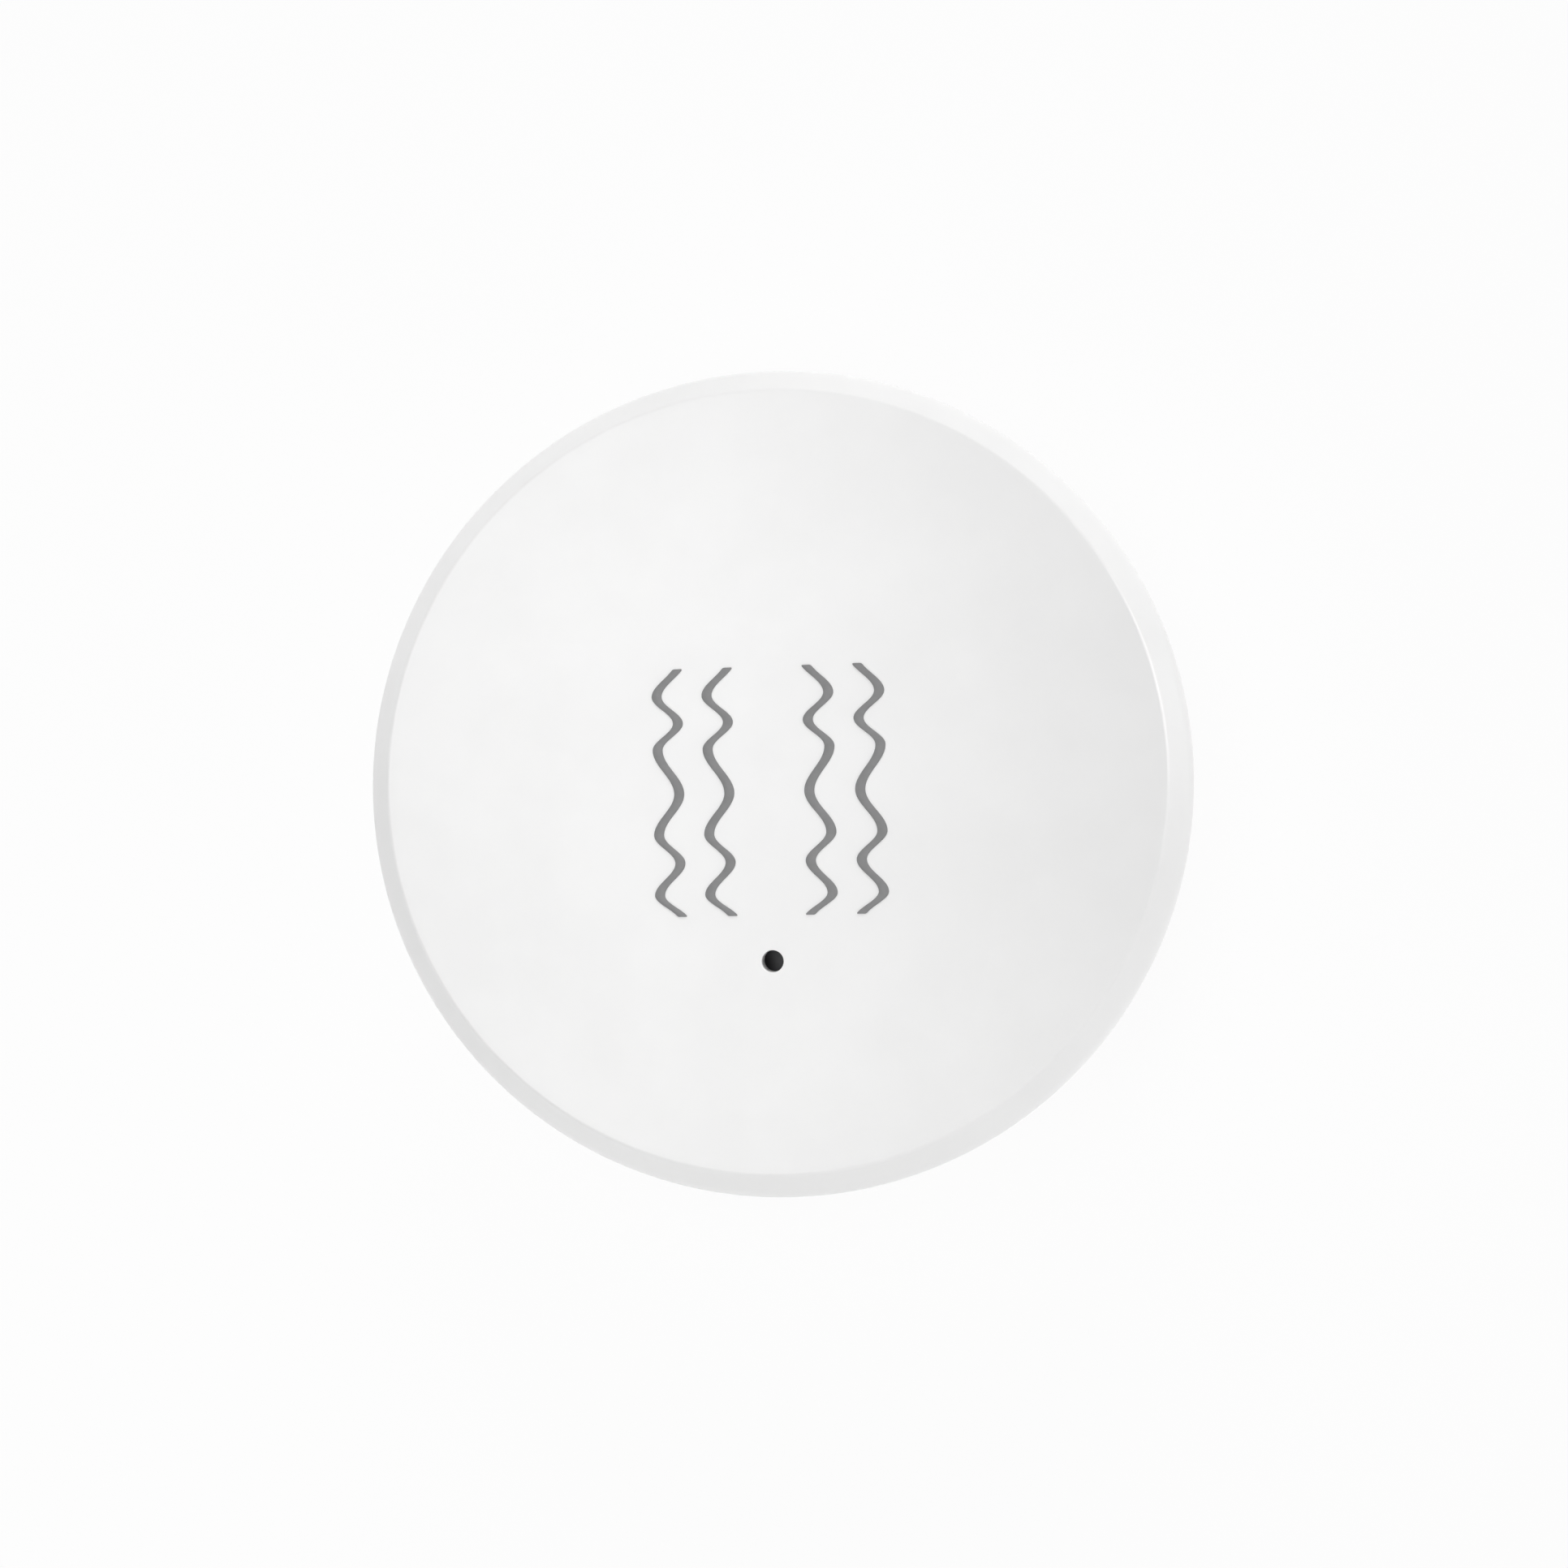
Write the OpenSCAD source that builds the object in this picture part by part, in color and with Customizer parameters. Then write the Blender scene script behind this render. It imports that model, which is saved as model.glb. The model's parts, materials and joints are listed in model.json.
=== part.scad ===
// Vibration sensor tag: a round white puck with a dished face, twisted onto a wall plate.
// Millimetres. +Z points out of the face, +Y is up on the face, z = 0 is the adhesive's outer side.

/* [Case] */
// Outer diameter of the front shell
body_d = 46; // [44:0.5:56]
// Thickness of the shell's side wall
shell_wall = 1.8; // [1.5:0.1:2.2]
// Thickness of the shell's face
face_t = 1.6; // [1.2:0.1:2.2]
// Depth of the dish in the face, at its centre
dish_depth = 0.6; // [0.3:0.1:1.2]
// Width of the flat rim bevel, in plan
bevel_w = 1.08; // [0.6:0.02:1.4]
// Slope of the rim bevel below the horizontal, in degrees
bevel_angle = 45; // [35:1:52]
// Radius of the round from the bevel into the side wall
rim_round = 1.6; // [0.8:0.1:2.2]
// Radius of the ridge between the dish and the bevel
ridge_round = 0.3; // [0.15:0.05:0.5]
// Radius of the shell's lower outer edge
skirt_round = 0.4; // [0.2:0.05:0.7]
// Radius inside the shell, where the wall meets the face
inner_round = 0.9; // [0.4:0.1:1.4]

/* [Wall plate and adhesive] */
// Diameter of the adhesive foam pad
pad_d = 36; // [28:0.5:40]
// Thickness of the adhesive foam pad
pad_t = 1; // [0.8:0.1:2]
// Thickness of the wall plate's flange
flange_t = 1.6; // [1.4:0.1:2.4]
// How far the flange's edge stands in from the shell's side
flange_inset = 0.4; // [0.2:0.1:1]
// Radius of the flange's lower edge
flange_round = 0.5; // [0.2:0.05:0.8]
// Diameter of the recess in the plate's floor, under the battery
floor_recess_d = 34; // [28:0.5:35]
// Depth of that recess
floor_recess = 0.4; // [0.2:0.05:0.6]
// Thickness of the plate's collar
collar_t = 1.4; // [1:0.1:1.8]
// Gap between the flange and the shell's lower edge
turn_gap = 0.2; // [0.15:0.05:0.5]

/* [Twist lock] */
// Number of lugs on the plate and of ledges in the shell
lock_count = 3; // [2:1:4]
// Direction of the first lug, in degrees
lock_start = 90; // [0:5:355]
// How far each ledge stands in from the shell's inner wall
ledge_w = 1.2; // [0.9:0.1:1.6]
// Height of a ledge
ledge_t = 1; // [0.8:0.1:1.3]
// Angle that a ledge takes up
ledge_angle = 16; // [12:1:20]
// Height of a lug
lug_t = 1; // [0.8:0.1:1.3]
// Angle that a lug takes up
lug_angle = 18; // [14:1:22]
// Turn from locked to free, in degrees
unlock_turn = 20; // [19:1:24]
// Angle that a stop rib takes up
stop_angle = 2.5; // [2:0.5:4]
// Free angle between a ledge and a stop rib
stop_gap = 1.2; // [0.8:0.1:2]
// Radial clearance of the ledges and lugs
lock_clear = 0.3; // [0.2:0.05:0.5]
// Clearance between a lug and the ledge under it
lock_play = 0.2; // [0.15:0.05:0.4]

/* [Face marks and pin hole] */
// Distance between neighbouring wavy marks; the middle place is left empty
wave_pitch = 2.79; // [2.2:0.01:3.4]
// Number of marks on each side of the middle
waves_a_side = 2; // [1:1:3]
// Width of a mark, measured sideways
wave_w = 0.555; // [0.4:0.005:0.8]
// Swing of a mark to either side
wave_swing = 0.58; // [0.3:0.01:0.9]
// Heights of a mark's bends above its middle; the first and the last lie beyond its ends
wave_bends = [-7.04, -5.63, -3.88, -2.33, -0.07, 2.37, 3.83, 5.32, 7.2];
// Half of a mark's height
wave_half_h = 6.83; // [5:0.01:7]
// Height of the marks' middle above the face's middle
wave_y = -0.62; // [-1:0.01:1]
// Thickness of the printed ink
ink_t = 0.04; // [0.02:0.01:0.06]
// Hairline between the ink and the face
ink_gap = 0.005; // [0.004:0.001:0.008]
// Diameter of the pin hole over the reset switch
pin_hole_d = 1.2; // [0.9:0.05:1.6]
// Height of the pin hole above the face's middle
pin_hole_y = -9.95; // [-11:0.05:-9]
// Thickness of the face at the pin hole
pin_lip = 1.2; // [1:0.1:1.4]
// Bore of the guide tube behind the pin hole
pin_tube_d = 1.8; // [1.6:0.1:2]
// Wall of the guide tube
pin_tube_wall = 0.7; // [0.6:0.1:1]

/* [Battery] */
// Diameter of the coin cell
cell_d = 20; // [20:0.1:23]
// Height of the coin cell
cell_t = 3.2; // [2.5:0.1:3.6]
// Width of the cell's outer rim around its seal
cell_rim_w = 0.5; // [0.35:0.05:0.7]
// Width of the cell's seal
cell_seal_w = 0.45; // [0.3:0.05:0.6]
// Depth of the cell's negative cap
cell_cap_t = 0.5; // [0.35:0.05:0.7]
// How far the negative cap stands above the rim
cell_cap_rise = 0.2; // [0.1:0.05:0.3]
// Clearance around the cell in its holder
cell_clear = 0.2; // [0.1:0.05:0.4]
// Wall of the battery holder
holder_wall = 1.2; // [0.9:0.1:1.6]
// How far the holder stops short of the cell's positive side
holder_short = 0.8; // [0.5:0.1:1.2]
// Thickness of the holder's foot ring on the board
holder_foot_t = 0.5; // [0.4:0.05:0.6]
// Width of the holder's foot ring, in from its wall
holder_foot_w = 1.3; // [1:0.1:2]
// Angle of the holder's open side
holder_open = 120; // [90:5:140]
// Direction of the holder's open side, in degrees
holder_open_at = 90; // [0:5:355]
// Width of the positive clip
clip_w = 8; // [5:0.5:9]
// Thickness of the clip's sheet metal
clip_t = 0.25; // [0.2:0.05:0.35]
// Length of the clip's feet
clip_foot = 2; // [1.2:0.1:2.4]
// Gap between the clip and the holder
clip_gap = 0.1; // [0.05:0.05:0.3]
// Gap between the clip and the wall plate
clip_clear = 0.15; // [0.1:0.05:0.4]
// Height of the negative contact's cone
contact_h = 0.8; // [0.7:0.05:1.2]
// Thickness of the negative contact
contact_t = 0.2; // [0.15:0.05:0.3]
// Diameter of the negative contact's foot
contact_foot_d = 9; // [7:0.5:12]
// Diameter of the negative contact's crown
contact_crown_d = 4; // [2.5:0.5:5]

/* [Circuit board and screws] */
// Thickness of the circuit board
board_t = 1; // [0.8:0.1:1.6]
// Gap between the board's edge and the ledges
board_clear = 0.4; // [0.3:0.05:0.8]
// Room for parts between the board and the face
headroom = 3.2; // [3:0.1:4.5]
// Diameter of the screw bosses behind the face
boss_d = 4.4; // [3.8:0.1:5]
// How far the screws stand in from the board's edge
screw_inset = 3.1; // [2.8:0.1:3.6]
// Direction of the first screw, in degrees
screw_start = 30; // [20:1:40]
// Outer diameter of the screw thread
screw_d = 1.5; // [1.2:0.1:1.8]
// Clearance around the screw in its boss and in the board
screw_clear = 0.05; // [0.03:0.01:0.1]
// Length of the screw under its head
screw_l = 3.6; // [3:0.1:3.9]
// Diameter of the screw head
screw_head_d = 2.9; // [2.6:0.1:3.4]
// Height of the screw head
screw_head_t = 0.9; // [0.7:0.05:1.1]
// Width of the cross slot in the screw head
cross_w = 0.4; // [0.3:0.05:0.5]
// Length of the cross slot
cross_l = 1.7; // [1.3:0.1:2]
// Depth of the cross slot
cross_depth = 0.5; // [0.3:0.05:0.6]

/* [Reset switch] */
// Side of the switch's square housing
switch_w = 4.6; // [4.2:0.1:5.2]
// Height of the housing
switch_h = 1.3; // [1.2:0.05:1.5]
// Thickness of the housing's floor
switch_floor = 0.3; // [0.2:0.05:0.4]
// Diameter of the well in the housing
well_d = 3.4; // [3.2:0.1:3.6]
// Thickness of the switch's sheet-metal cover
cover_t = 0.2; // [0.15:0.05:0.25]
// Diameter of the stem
stem_d = 2.1; // [1.8:0.1:2.3]
// Diameter of the stem's foot, under the cover
stem_foot_d = 2.9; // [2.7:0.1:3]
// Thickness of the stem's foot
stem_foot_t = 0.3; // [0.25:0.05:0.35]
// Clearance of the stem in the cover
stem_clear = 0.08; // [0.05:0.01:0.15]
// Clearance between the stem's foot and the cover above it
foot_clear = 0.05; // [0.03:0.01:0.08]
// Height of the stem's top above the board
stem_top = 2.5; // [2.3:0.05:2.6]
// Gap between the stem and the guide tube
tube_gap = 0.4; // [0.35:0.05:0.6]
// Thickness of the snap dome
dome_t = 0.08; // [0.05:0.01:0.1]
// Gap between the dome and the stem's foot
dome_gap = 0.02; // [0.01:0.01:0.04]
// Clearance around the dome in its well
dome_clear = 0.1; // [0.05:0.05:0.2]
// Length of a switch terminal
terminal_l = 0.8; // [0.5:0.1:1.1]
// Width of a switch terminal
terminal_w = 0.7; // [0.5:0.1:0.9]
// Thickness of a switch terminal
terminal_t = 0.2; // [0.15:0.05:0.25]
// Distance from terminal to terminal on a side
terminal_span = 3.0; // [2.4:0.1:3.4]

/* [Radio module] */
// Width of the radio module
module_w = 16; // [14:0.5:17]
// Length of the radio module
module_l = 12; // [11:0.5:12.5]
// Thickness of the module's board
module_t = 0.8; // [0.6:0.1:1]
// Height of the module's middle above the face's middle
module_y = 6.5; // [6.2:0.1:7]
// Distance from the module's sides to the shield can
shield_side = 1.75; // [1.5:0.05:2.5]
// Height of the shield can
shield_h = 1.6; // [1.2:0.1:1.8]
// Sheet thickness of the shield can
shield_t = 0.15; // [0.1:0.05:0.2]
// Distance from the module's lower edge to the shield can
shield_inset = 0.7; // [0.4:0.1:1]
// Width of the antenna's copper track
track_w = 0.5; // [0.35:0.05:0.6]
// Thickness of the antenna's copper track
track_t = 0.05; // [0.03:0.01:0.08]
// Distance between the antenna's legs
track_pitch = 1.5; // [1.2:0.1:1.6]
// Length of the antenna's legs
track_leg = 2.4; // [1.8:0.1:2.6]
// Number of legs in the antenna
track_legs = 8; // [6:2:8]
// Distance from the module's upper edge to the antenna
track_inset = 0.4; // [0.3:0.1:0.6]
// Gap between the antenna and the shield can
antenna_gap = 0.9; // [0.6:0.1:1.5]
// Number of solder joints on each side of the module
joint_count = 7; // [5:1:8]
// Distance between the module's solder joints
joint_pitch = 1.27; // [1:0.01:1.27]
// Width of a solder joint
joint_w = 0.8; // [0.5:0.05:0.9]
// Height of a solder joint
joint_h = 0.6; // [0.4:0.05:0.6]

/* [Small parts on the board] */
// Side of the motion sensor chip
sensor_w = 2.5; // [2:0.1:3]
// Height of the motion sensor chip
sensor_h = 0.9; // [0.7:0.05:1.1]
// Place of the motion sensor chip
sensor_at = [6.8, -3.6];
// Length of the crystal can
crystal_l = 3.2; // [2.5:0.1:3.6]
// Width of the crystal can
crystal_w = 1.5; // [1.2:0.1:1.8]
// Height of the crystal can
crystal_h = 0.8; // [0.6:0.05:1]
// Place of the crystal
crystal_at = [-7, -3.2];
// Length of the regulator's body
regulator_l = 2.9; // [2.6:0.1:3.1]
// Width of the regulator's body
regulator_w = 1.3; // [1.2:0.1:1.6]
// Height of the regulator's body
regulator_h = 1; // [0.8:0.05:1.2]
// Place of the regulator
regulator_at = [-10.4, -7];
// Reach of the regulator's leads beyond its body
lead_l = 0.55; // [0.4:0.05:0.7]
// Width of a regulator lead
lead_w = 0.4; // [0.3:0.05:0.5]
// Thickness of a regulator lead
lead_t = 0.15; // [0.1:0.05:0.2]
// Distance between the regulator's outer leads
lead_span = 1.9; // [1.7:0.1:2]
// Length of the status lamp
lamp_l = 1.6; // [1.2:0.1:2]
// Width of the status lamp
lamp_w = 0.8; // [0.6:0.1:1.2]
// Thickness of the lamp's base
lamp_base_t = 0.25; // [0.2:0.05:0.35]
// Height of the lamp's clear lens
lamp_lens_h = 0.45; // [0.3:0.05:0.6]
// Length of the lamp's clear lens
lamp_lens_l = 1; // [0.8:0.1:1.1]
// Distance from the pin hole to the status lamp
lamp_off = 5; // [4.4:0.1:6]
// Length of the storage capacitor
storage_l = 3.5; // [3.2:0.1:4]
// Width of the storage capacitor
storage_w = 2.8; // [2.4:0.1:3.2]
// Height of the storage capacitor
storage_h = 1.9; // [1.5:0.1:2.1]
// Place of the storage capacitor
storage_at = [8.6, -9];
// Thickness of the storage capacitor's end tabs
tab_t = 0.15; // [0.1:0.05:0.2]
// Length of a chip, with its ends
chip_l = 1; // [0.8:0.05:1.1]
// Width of a chip
chip_w = 0.5; // [0.4:0.05:0.6]
// Height of a chip
chip_h = 0.4; // [0.3:0.05:0.6]
// Length of a chip's metal end
chip_end = 0.22; // [0.15:0.01:0.3]
// Number of chips in a row
chip_count = 5; // [3:1:5]
// Distance between the chips in a row
chip_pitch = 1.5; // [1.1:0.1:1.8]
// Height of the capacitors' row above the face's middle
capacitor_y = -2.2; // [-2.6:0.1:-1.4]
// Height of the resistors' row above the face's middle
resistor_y = -4.6; // [-5:0.1:-4]
// Diameter of a test pad
pad_dot_d = 1.2; // [0.8:0.1:1.5]
// Thickness of a test pad
pad_dot_t = 0.04; // [0.03:0.01:0.06]
// Number of test pads
pad_dot_count = 5; // [3:1:5]
// Distance between the test pads
pad_dot_pitch = 2.4; // [1.8:0.1:2.8]
// How far the test pads stand in from the board's edge
pad_dot_inset = 4.6; // [4:0.1:5]

/* [Hidden] */
$fn = 96;
// Overlap that joins shapes of one solid
eps = 0.05;
// Steps along a wavy mark
wave_steps = 44;
// Steps round the dish's large circle, which keep a drawn facet well under the ink's hairline
dish_steps = 1440;
// Screws that hold the board
screw_count = 3;
// Body diameter that the marks and the pin hole are drawn for
drawn_d = 46;

// Heights, from the wall outwards
flange_z = pad_t;
flange_top = flange_z + flange_t;
shell_z = flange_top + turn_gap;
ledge_top = shell_z + ledge_t;
lug_z = ledge_top + lock_play;
lug_top = lug_z + lug_t;
clip_z = flange_top + clip_clear;
cell_z = clip_z + clip_t;
cell_top = cell_z + cell_t;
board_z = cell_top + contact_h;
board_top = board_z + board_t;
face_back_z = board_top + headroom;
dish_z = face_back_z + face_t;
body_h = dish_z + dish_depth;

// Radii
body_r = body_d / 2;
bore_r = body_r - shell_wall;
ledge_r = bore_r - ledge_w;
collar_r = ledge_r - lock_clear;
lug_r = bore_r - lock_clear;
board_r = ledge_r - board_clear;
screw_ring_r = board_r - screw_inset;
screw_hole_r = screw_d / 2 + screw_clear;
cell_r = cell_d / 2;
holder_r = cell_r + cell_clear;
holder_out_r = holder_r + holder_wall;
clip_half = holder_out_r + clip_gap;
pad_dot_y = board_r - pad_dot_inset;

// The marks and the pin hole grow with the face
face_scale = body_d / drawn_d;
pin_y = face_scale * pin_hole_y;

// Rim section: the round into the wall, the bevel's two ends and the dish's sphere
round_c = [body_r - rim_round, body_h - bevel_w * tan(bevel_angle) - rim_round * cos(bevel_angle)];
bevel_low = round_c + rim_round * [sin(bevel_angle), cos(bevel_angle)];
bevel_high = bevel_low + bevel_w * [-1, tan(bevel_angle)];
dish_r = (pow(bevel_high[0], 2) + pow(dish_depth, 2)) / (2 * dish_depth);
dish_c = [0, dish_z + dish_r];

// Centre of the ridge's round: as far under the bevel as under the dish
ridge_line = bevel_high - ridge_round * [sin(bevel_angle), cos(bevel_angle)];
ridge_dir = [cos(bevel_angle), -sin(bevel_angle)];
ridge_off = ridge_line - dish_c;
ridge_b = ridge_off * ridge_dir;
ridge_k = ridge_off * ridge_off - pow(dish_r + ridge_round, 2);
ridge_c = ridge_line + (-ridge_b + sqrt(pow(ridge_b, 2) - ridge_k)) * ridge_dir;
ridge_on_bevel = ridge_c + ridge_round * [sin(bevel_angle), cos(bevel_angle)];
ridge_on_dish = dish_c + dish_r * (ridge_c - dish_c) / norm(ridge_c - dish_c);

// The switch under the pin hole, and the lamp beside it
switch_at = [0, pin_y];
lamp_at = switch_at - [lamp_off, 0];
stem_top_z = board_top + stem_top;
tube_z = stem_top_z + tube_gap;
cover_z = board_top + switch_h;
well_z = board_top + switch_floor;
stem_foot_top = cover_z - foot_clear;
stem_foot_z = stem_foot_top - stem_foot_t;
dome_foot_r = well_d / 2 - dome_clear;
dome_top_z = stem_foot_z - dome_gap;
dome_rise = dome_top_z - well_z;
dome_r = (pow(dome_foot_r, 2) + pow(dome_rise, 2)) / (2 * dome_rise);

// The radio module's places
module_z = board_top + module_t;
module_low_y = module_y - module_l / 2;
module_high_y = module_y + module_l / 2;
shield_w = module_w - 2 * shield_side;
shield_l = module_l - shield_inset - antenna_gap - track_leg - track_inset;
shield_y = module_low_y + shield_inset + shield_l / 2;

function sphere_z(c, r, at) = c - sqrt(r * r - at * at);
function spin_angles(count, start) = [for (i = [0 : count - 1]) start + i * 360 / count];
function row_places(count, pitch) = [for (i = [0 : count - 1]) (i - (count - 1) / 2) * pitch];

// Sideways place of a mark's middle line, which swings over from each bend to the next
bend_table = [for (i = [0 : len(wave_bends) - 1]) [wave_bends[i], i]];
function wave_x(y) = wave_swing * cos(180 * lookup(y, bend_table));

module tube(r_out, r_in, z0, z1) {
    translate([0, 0, z0]) difference() {
        cylinder(r = r_out, h = z1 - z0);
        translate([0, 0, -eps]) cylinder(r = r_in, h = z1 - z0 + 2 * eps);
    }
}

// A block that sits on the middle of its lower face
module block(size, at, z) {
    translate([at[0] - size[0] / 2, at[1] - size[1] / 2, z]) cube(size);
}

// Part of a ring: its first angle and its width in degrees
module ring_part(r_in, r_out, z0, z1, first, width) {
    rotate([0, 0, first]) rotate_extrude(angle = width)
        translate([r_in, z0]) square([r_out - r_in, z1 - z0]);
}

// What a round takes off a square outer corner; side says which way the corner points
module corner_off(at, r, side) {
    difference() {
        translate([at[0] - (side[0] > 0 ? r : eps), at[1] - (side[1] > 0 ? r : eps)])
            square(r + eps);
        translate(at - r * side) circle(r);
    }
}

module adhesive_pad() {
    color("#e9e9e6") cylinder(d = pad_d, h = pad_t);
}

// One lug with the stop rib that the locked ledge meets, and the stop of the free end
module lock_lug(at) {
    locked_stop = at - ledge_angle / 2 - stop_gap - stop_angle;
    free_stop = at + ledge_angle / 2 + unlock_turn + stop_gap;
    root_r = collar_r - collar_t / 2;
    ring_part(root_r, lug_r, lug_z, lug_top, locked_stop, at + lug_angle / 2 - locked_stop);
    ring_part(root_r, lug_r, flange_top - eps, lug_top, locked_stop, stop_angle);
    ring_part(root_r, lug_r, flange_top - eps, lug_top, free_stop, stop_angle);
}

module base_plate() {
    flange_r = body_r - flange_inset;
    color("#ededea") union() {
        difference() {
            rotate_extrude() difference() {
                translate([0, flange_z]) square([flange_r, flange_t]);
                corner_off([flange_r, flange_z], flange_round, [1, -1]);
            }
            translate([0, 0, flange_top - floor_recess])
                cylinder(d = floor_recess_d, h = floor_recess + eps);
        }
        tube(collar_r, collar_r - collar_t, flange_top - eps, lug_top);
        for (a = spin_angles(lock_count, lock_start)) lock_lug(a);
    }
}

// Half section of the shell's outer form
module shell_form() {
    difference() {
        union() {
            translate([0, shell_z]) square([body_r, round_c[1] - shell_z]);
            translate([0, shell_z]) square([round_c[0], bevel_low[1] - shell_z]);
            translate(round_c) circle(rim_round);
            polygon([[0, shell_z], [bevel_low[0], shell_z], bevel_low, bevel_high, [0, bevel_high[1]]]);
        }
        translate(dish_c) circle(dish_r, $fn = dish_steps);
        difference() {
            polygon([ridge_on_dish, ridge_on_bevel, bevel_high + [eps, eps], bevel_high + [-eps, eps]]);
            translate(ridge_c) circle(ridge_round);
        }
        corner_off([body_r, shell_z], skirt_round, [1, -1]);
    }
}

// Half section of the room inside the shell
module shell_room() {
    corner_z = sphere_z(dish_c[1], dish_r + face_t, bore_r);
    difference() {
        translate([0, shell_z - eps]) square([bore_r, body_h - shell_z]);
        translate(dish_c) circle(dish_r + face_t, $fn = dish_steps);
        corner_off([bore_r, corner_z], inner_round, [1, 1]);
    }
}

module screw_boss(a) {
    rotate([0, 0, a]) translate([screw_ring_r, 0, board_top])
        cylinder(d = boss_d, h = headroom + face_t / 2);
}

module screw_hole(a) {
    rotate([0, 0, a]) translate([screw_ring_r, 0, board_top - eps])
        cylinder(r = screw_hole_r, h = screw_l - board_t + 2 * eps);
}

module front_shell() {
    screws = spin_angles(screw_count, screw_start);
    pin_face_z = sphere_z(dish_c[1], dish_r, abs(pin_y));
    color("#f4f4f2") difference() {
        union() {
            rotate_extrude() difference() {
                shell_form();
                shell_room();
            }
            for (a = spin_angles(lock_count, lock_start))
                ring_part(ledge_r, bore_r + eps, shell_z, ledge_top, a - ledge_angle / 2, ledge_angle);
            for (a = screws) screw_boss(a);
            translate([0, pin_y, tube_z])
                cylinder(d = pin_tube_d + 2 * pin_tube_wall, h = pin_face_z - face_t / 2 - tube_z);
        }
        for (a = screws) screw_hole(a);
        translate([0, pin_y, tube_z - eps]) {
            cylinder(d = pin_tube_d, h = pin_face_z - pin_lip - tube_z + eps);
            cylinder(d = pin_hole_d, h = body_h - tube_z);
        }
    }
}

// Outline of one wavy mark, as wide sideways at every height
module wave_outline() {
    heights = [for (i = [0 : wave_steps]) wave_half_h * (2 * i / wave_steps - 1)];
    right = [for (y = heights) [wave_x(y) + wave_w / 2, y]];
    left = [for (i = [wave_steps : -1 : 0]) [wave_x(heights[i]) - wave_w / 2, heights[i]]];
    polygon(face_scale * concat(right, left));
}

module wave_side() {
    for (i = [1 : waves_a_side]) translate(face_scale * [-i * wave_pitch, wave_y]) wave_outline();
}

module wave_marks() {
    ink_r = dish_r - ink_gap;
    color("#848484") intersection() {
        translate([0, 0, dish_z - eps]) linear_extrude(dish_depth) {
            wave_side();
            mirror([1, 0]) wave_side();
        }
        rotate_extrude() intersection() {
            translate([0, dish_z - 2 * eps]) square([bevel_high[0], dish_depth]);
            translate(dish_c) difference() {
                circle(ink_r, $fn = dish_steps);
                circle(ink_r - ink_t, $fn = dish_steps);
            }
        }
    }
}

module main_board() {
    color("#2f6b46") difference() {
        translate([0, 0, board_z]) cylinder(r = board_r, h = board_t);
        for (a = spin_angles(screw_count, screw_start))
            rotate([0, 0, a]) translate([screw_ring_r, 0, board_z - eps])
                cylinder(r = screw_hole_r, h = board_t + 2 * eps);
    }
}

module board_screws() {
    color("#b9bcc0") for (a = spin_angles(screw_count, screw_start))
        rotate([0, 0, a]) translate([screw_ring_r, 0, board_z]) {
            translate([0, 0, -eps]) cylinder(d = screw_d, h = screw_l + eps);
            translate([0, 0, -screw_head_t]) difference() {
                cylinder(d = screw_head_d, h = screw_head_t);
                block([cross_l, cross_w, cross_depth + eps], [0, 0], -eps);
                block([cross_w, cross_l, cross_depth + eps], [0, 0], -eps);
            }
        }
}

// Open at the top of the face, so that the cell slides out along +Y
module battery_holder() {
    wall_z = cell_z + holder_short;
    foot_z = board_z - holder_foot_t;
    foot_r = holder_r - holder_foot_w;
    open_from = holder_open_at - holder_open / 2;
    color("#26272a") difference() {
        rotate_extrude() union() {
            translate([holder_r, wall_z]) square([holder_wall, board_z - wall_z]);
            translate([foot_r, foot_z]) square([holder_out_r - foot_r, holder_foot_t]);
        }
        ring_part(foot_r, holder_out_r + eps, wall_z - eps, foot_z, open_from, holder_open);
    }
}

module battery_clip() {
    leg_h = board_z - clip_z;
    color("#c9ccd0") union() {
        block([2 * clip_half + 2 * clip_t, clip_w, clip_t], [0, 0], clip_z);
        for (side = [-1, 1]) {
            block([clip_t, clip_w, leg_h], [side * (clip_half + clip_t / 2), 0], clip_z);
            block([clip_foot, clip_w, clip_t], [side * (clip_half + clip_foot / 2), 0], board_z - clip_t);
        }
    }
}

module negative_contact() {
    foot_r = contact_foot_d / 2;
    crown_r = contact_crown_d / 2;
    color("#cdb36a") rotate_extrude() polygon([
        [crown_r - contact_t, cell_top], [crown_r + contact_t, cell_top],
        [foot_r - contact_t, board_z - contact_t], [foot_r + contact_t, board_z - contact_t],
        [foot_r + contact_t, board_z], [foot_r - contact_t, board_z],
        [crown_r, cell_top + contact_t], [crown_r - contact_t, cell_top + contact_t]
    ]);
}

module coin_cell_can() {
    rim_z = cell_top - cell_cap_rise;
    well = cell_cap_t - cell_cap_rise;
    color("#bfc2c6") translate([0, 0, cell_z]) difference() {
        cylinder(r = cell_r, h = rim_z - cell_z);
        translate([0, 0, rim_z - cell_z - well]) cylinder(r = cell_r - cell_rim_w, h = well + eps);
    }
}

module coin_cell_seal() {
    rim_z = cell_top - cell_cap_rise;
    seal_r = cell_r - cell_rim_w;
    color("#3a3a3c") tube(seal_r, seal_r - cell_seal_w, cell_top - cell_cap_t, rim_z);
}

module coin_cell_cap() {
    cap_r = cell_r - cell_rim_w - cell_seal_w;
    color("#d2d4d7") translate([0, 0, cell_top - cell_cap_t]) cylinder(r = cap_r, h = cell_cap_t);
}

module reset_switch_housing() {
    color("#202124") difference() {
        block([switch_w, switch_w, switch_h], switch_at, board_top);
        translate([0, pin_y, well_z]) cylinder(d = well_d, h = switch_h);
    }
}

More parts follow.
